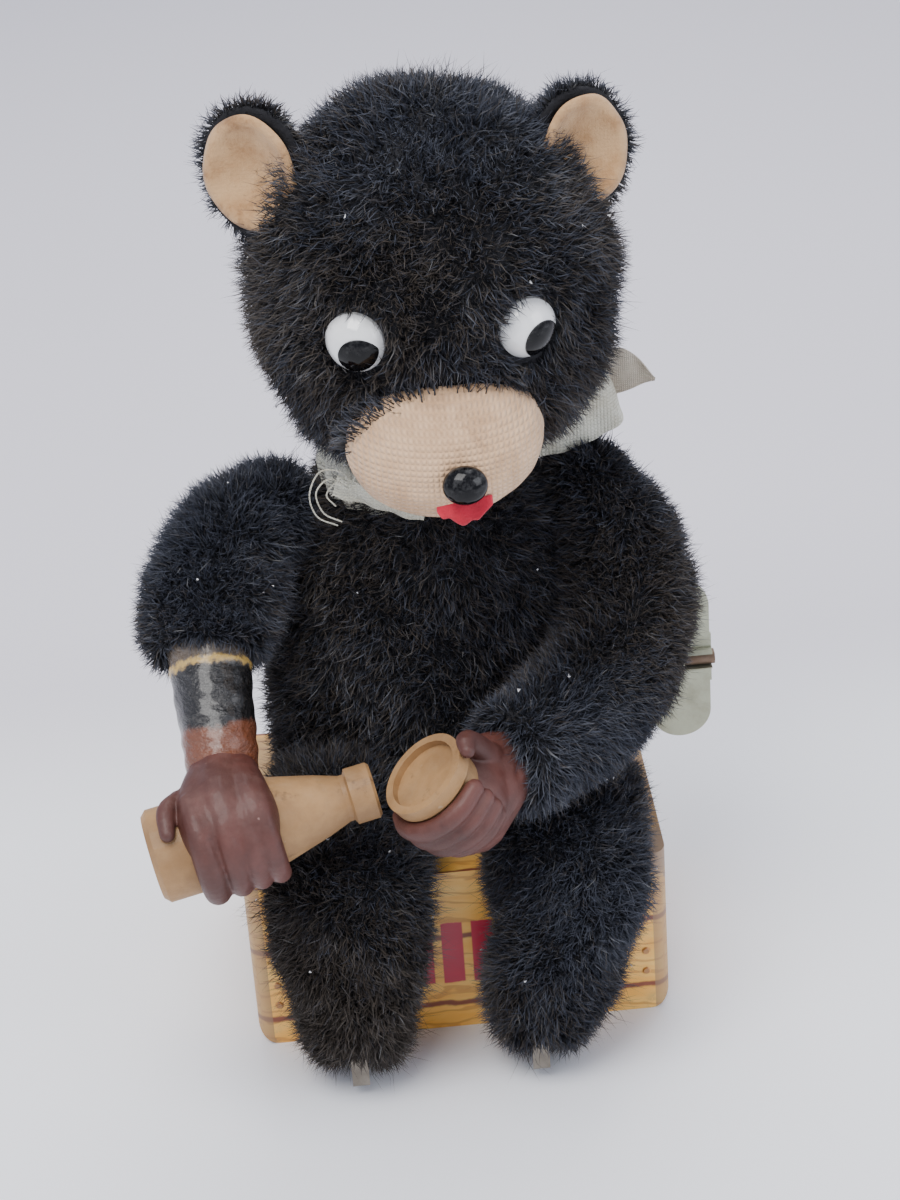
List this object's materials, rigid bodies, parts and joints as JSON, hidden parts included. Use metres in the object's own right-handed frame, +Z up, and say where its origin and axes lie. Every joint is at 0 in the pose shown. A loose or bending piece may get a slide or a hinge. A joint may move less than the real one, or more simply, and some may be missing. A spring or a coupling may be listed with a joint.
{
  "type": "wind-up drinking bear",
  "caption": "Clockwork plush bear sitting on a printed tin crate, pouring from a bottle and lifting a cup to its mouth, with a winding key at its side.",
  "frame": {"origin": "centre of the crate's underside, on the table", "axes": "+Z up; the bear faces -Y; +X is the bear's left, where the key is"},
  "size_m": [0.1104, 0.088, 0.1796],
  "materials": {
    "litho_tin": "lacquered tin printed as wooden planks",
    "bare_tin": "tinned steel sheet, dulled",
    "motor_steel": "pressed and turned steel, oiled",
    "spring_steel": "blued spring steel",
    "gear_brass": "stamped brass",
    "plated_key": "plated steel sheet, scratched and yellowed",
    "black_plush": "short black pile on a woven back",
    "ribbon": "pale woven ribbon, faded and frayed",
    "brown_vinyl": "soft moulded vinyl, dusty",
    "cream_vinyl": "soft moulded vinyl, stained",
    "clear_tape": "clear adhesive tape, yellowed and wrinkled",
    "muzzle_cloth": "woven cream cloth over padding",
    "cream_felt": "cream felt, soiled",
    "red_felt": "red felt",
    "white_gloss": "white moulded plastic, polished",
    "black_gloss": "black moulded plastic, polished"
  },
  "bodies": {
    "base": {"crate_shell": "litho_tin", "crate_base_plate": "bare_tin", "frame_plate_right": "motor_steel", "frame_plate_left": "motor_steel", "frame_pillars": "motor_steel", "frame_screws": "motor_steel", "mainspring": "spring_steel", "body_shell_front": "bare_tin", "body_shell_back": "bare_tin", "torso_plush": "black_plush", "right_leg_plush": "black_plush", "left_leg_plush": "black_plush", "right_leg_stay": "bare_tin", "left_leg_stay": "bare_tin", "neck_post": "motor_steel", "collar_ribbon": "ribbon", "collar_bow": "ribbon"},
    "winding": {"winding_key": "plated_key", "winding_arbor": "motor_steel", "ratchet_wheel": "motor_steel"},
    "great": {"great_wheel": "gear_brass"},
    "click": {"click": "motor_steel"},
    "cam_shaft": {"cam_arbor": "motor_steel", "second_wheel": "gear_brass", "bottle_cam": "motor_steel", "cup_cam": "motor_steel"},
    "third_shaft": {"third_arbor": "motor_steel", "third_wheel": "gear_brass"},
    "escape_shaft": {"escape_arbor": "motor_steel", "escape_wheel": "gear_brass"},
    "verge": {"verge": "motor_steel"},
    "bottle_arm": {"right_shoulder_shaft": "motor_steel", "right_arm_stay": "bare_tin", "right_sleeve": "black_plush", "right_forearm": "brown_vinyl", "forearm_tape": "clear_tape", "right_hand": "brown_vinyl", "milk_bottle": "cream_vinyl"},
    "cup_arm": {"left_shoulder_shaft": "motor_steel", "left_arm_stay": "bare_tin", "left_sleeve": "black_plush", "left_hand": "brown_vinyl", "milk_cup": "cream_vinyl"},
    "head": {"head_pivot_pin": "motor_steel", "head_bracket": "bare_tin", "head_form_front": "bare_tin", "head_form_back": "bare_tin", "head_plush": "black_plush", "muzzle": "muzzle_cloth", "nose_button": "black_gloss", "mouth_felt": "red_felt", "right_eye": "white_gloss", "left_eye": "white_gloss", "right_pupil": "black_gloss", "left_pupil": "black_gloss", "right_ear": "black_plush", "left_ear": "black_plush", "right_ear_lining": "cream_felt", "left_ear_lining": "cream_felt"}
  },
  "joints": [
    {"name": "key_turn", "type": "hinge", "parent": "base", "child": "winding", "pos_m": [0, 0.009, 0.056], "axis": [1, 0, 0], "continuous": true},
    {"name": "great_wheel_turn", "type": "hinge", "parent": "base", "child": "great", "pos_m": [0, 0.009, 0.056], "axis": [1, 0, 0], "continuous": true},
    {"name": "click_lift", "type": "hinge", "parent": "great", "child": "click", "pos_m": [0, 0.01528, 0.06127], "axis": [1, 0, 0], "range_deg": [0, 14]},
    {"name": "cam_shaft_turn", "type": "hinge", "parent": "base", "child": "cam_shaft", "pos_m": [0, 0.00009, 0.06662], "axis": [1, 0, 0], "continuous": true},
    {"name": "third_shaft_turn", "type": "hinge", "parent": "base", "child": "third_shaft", "pos_m": [0, 0.01025, 0.07514], "axis": [1, 0, 0], "continuous": true},
    {"name": "escape_shaft_turn", "type": "hinge", "parent": "base", "child": "escape_shaft", "pos_m": [0, 0.01357, 0.08673], "axis": [1, 0, 0], "continuous": true},
    {"name": "verge_rock", "type": "hinge", "parent": "base", "child": "verge", "pos_m": [0, 0.01397, 0.09433], "axis": [1, 0, 0], "range_deg": [-6, 6]},
    {"name": "bottle_arm_lift", "type": "hinge", "parent": "base", "child": "bottle_arm", "pos_m": [0, 0.004, 0.099], "axis": [-1, 0, 0], "range_deg": [0, 24]},
    {"name": "cup_arm_lift", "type": "hinge", "parent": "base", "child": "cup_arm", "pos_m": [0, 0.004, 0.099], "axis": [-1, 0, 0], "range_deg": [0, 40]},
    {"name": "head_nod", "type": "hinge", "parent": "base", "child": "head", "pos_m": [0, 0.004, 0.122], "axis": [-1, 0, 0], "range_deg": [0, 16]}
  ],
  "couplings": [
    {"joint": "great_wheel_turn", "follows": "key_turn", "ratio": 1},
    {"joint": "cam_shaft_turn", "follows": "key_turn", "ratio": -3.6},
    {"joint": "third_shaft_turn", "follows": "key_turn", "ratio": 12.24},
    {"joint": "escape_shaft_turn", "follows": "key_turn", "ratio": -36.72},
    {"joint": "head_nod", "follows": "cup_arm_lift", "ratio": 0.4}
  ]
}
